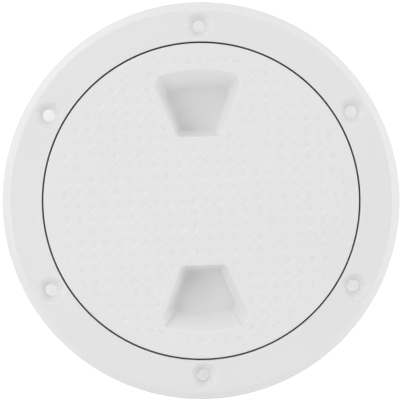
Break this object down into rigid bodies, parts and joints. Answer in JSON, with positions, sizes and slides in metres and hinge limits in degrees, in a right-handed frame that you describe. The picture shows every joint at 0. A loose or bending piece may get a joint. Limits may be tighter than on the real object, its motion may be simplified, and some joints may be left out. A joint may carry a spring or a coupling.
{
  "type": "deck inspection plate",
  "caption": "Round deck inspection plate: a flanged, threaded ring with countersunk screw holes and a screw-in lid with a diamond tread, finger wells and an O-ring seal.",
  "frame": {"origin": "centre of the circle of screw holes, on the deck that the flange lies on", "axes": "+Z out of the deck along the lid's axis; +Y towards the first screw hole and the first finger well"},
  "size_m": [0.171, 0.171, 0.0235],
  "materials": {
    "white_plastic": "satin moulded",
    "seal_rubber": "matte"
  },
  "bodies": {
    "frame": {"mounting_ring": "white_plastic"},
    "seal": {"seal_ring": "seal_rubber"},
    "lid": {"screw_lid": "white_plastic"}
  },
  "joints": [
    {"name": "lid_lift", "type": "slide", "parent": "frame", "child": "seal", "axis": [0, 0, 1], "range_m": [0, 0.0205]},
    {"name": "lid_turn", "type": "hinge", "parent": "seal", "child": "lid", "pos_m": [0, 0, 0], "axis": [0, 0, 1], "range_deg": [0, 1440]}
  ],
  "couplings": [
    {"joint": "lid_lift", "follows": "lid_turn", "m_per_rad": 0.00079577}
  ]
}
